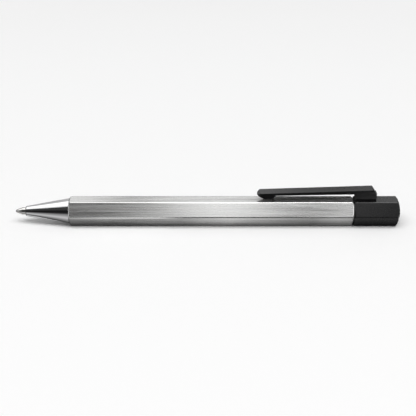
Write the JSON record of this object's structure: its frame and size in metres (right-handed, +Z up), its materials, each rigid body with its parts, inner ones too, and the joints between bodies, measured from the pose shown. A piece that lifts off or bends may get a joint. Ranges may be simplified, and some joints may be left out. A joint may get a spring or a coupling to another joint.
{
  "type": "ballpoint pen",
  "caption": "Hexagonal brushed-steel twist ballpoint pen with a polished nose cone and a black end cap that carries a pocket clip and turns to move the refill.",
  "frame": {"origin": "centre of the box's underside, where the bottom flats of the barrel and cap rest on a surface", "axes": "+X along the pen from the writing point to the cap's domed end, +Y across the barrel's corners, +Z up through the clip"},
  "size_m": [0.135, 0.0106, 0.0136],
  "materials": {
    "barrel_steel": "brushed along the length",
    "chrome_plate": "polished",
    "black_coat": "black anodised, satin",
    "clip_coat": "black coated spring steel, satin",
    "point_metal": "turned nickel silver",
    "ball_carbide": "ground tungsten carbide",
    "refill_metal": "drawn",
    "refill_plastic": "moulded",
    "ink_blue": "liquid",
    "grease": "translucent grease",
    "spring_steel": "drawn wire",
    "mechanism_brass": "turned",
    "mechanism_plastic": "moulded acetal",
    "ring_rubber": "moulded"
  },
  "bodies": {
    "barrel": {"barrel": "barrel_steel", "nose_cone": "chrome_plate", "guide_sleeve": "mechanism_brass", "thrust_washer": "mechanism_plastic", "rear_bush": "mechanism_brass", "drag_ring": "ring_rubber", "return_spring": "spring_steel"},
    "cap": {"end_cap": "black_coat", "cap_hub": "mechanism_brass", "cam_tube": "mechanism_brass", "clip_foot": "clip_coat", "clip_pegs": "spring_steel"},
    "clip": {"clip_arm": "clip_coat"},
    "refill": {"point_socket": "point_metal", "point_holder": "refill_plastic", "refill_tube": "refill_metal", "ink": "ink_blue", "ink_follower": "grease", "refill_plug": "refill_plastic", "pusher": "mechanism_plastic", "cross_pin": "spring_steel"},
    "ball": {"writing_ball": "ball_carbide"}
  },
  "joints": [
    {"name": "cap_twist", "type": "hinge", "parent": "barrel", "child": "cap", "pos_m": [0, 0, 0.00465], "axis": [1, 0, 0], "range_deg": [0, 180]},
    {"name": "refill_slide", "type": "slide", "parent": "barrel", "child": "refill", "axis": [1, 0, 0], "range_m": [0, 0.005], "deforming": ["return_spring"]},
    {"name": "clip_flex", "type": "hinge", "parent": "cap", "child": "clip", "pos_m": [0.05035, 0, 0.01274], "axis": [0, 1, 0], "range_deg": [0, 4], "stiffness_Nm_per_rad": 2},
    {"name": "ball_roll", "type": "hinge", "parent": "refill", "child": "ball", "pos_m": [-0.067, 0, 0.00465], "axis": [0, 1, 0], "continuous": true}
  ],
  "couplings": [
    {"joint": "cap_twist", "follows": "refill_slide", "rad_per_m": 628.32}
  ]
}
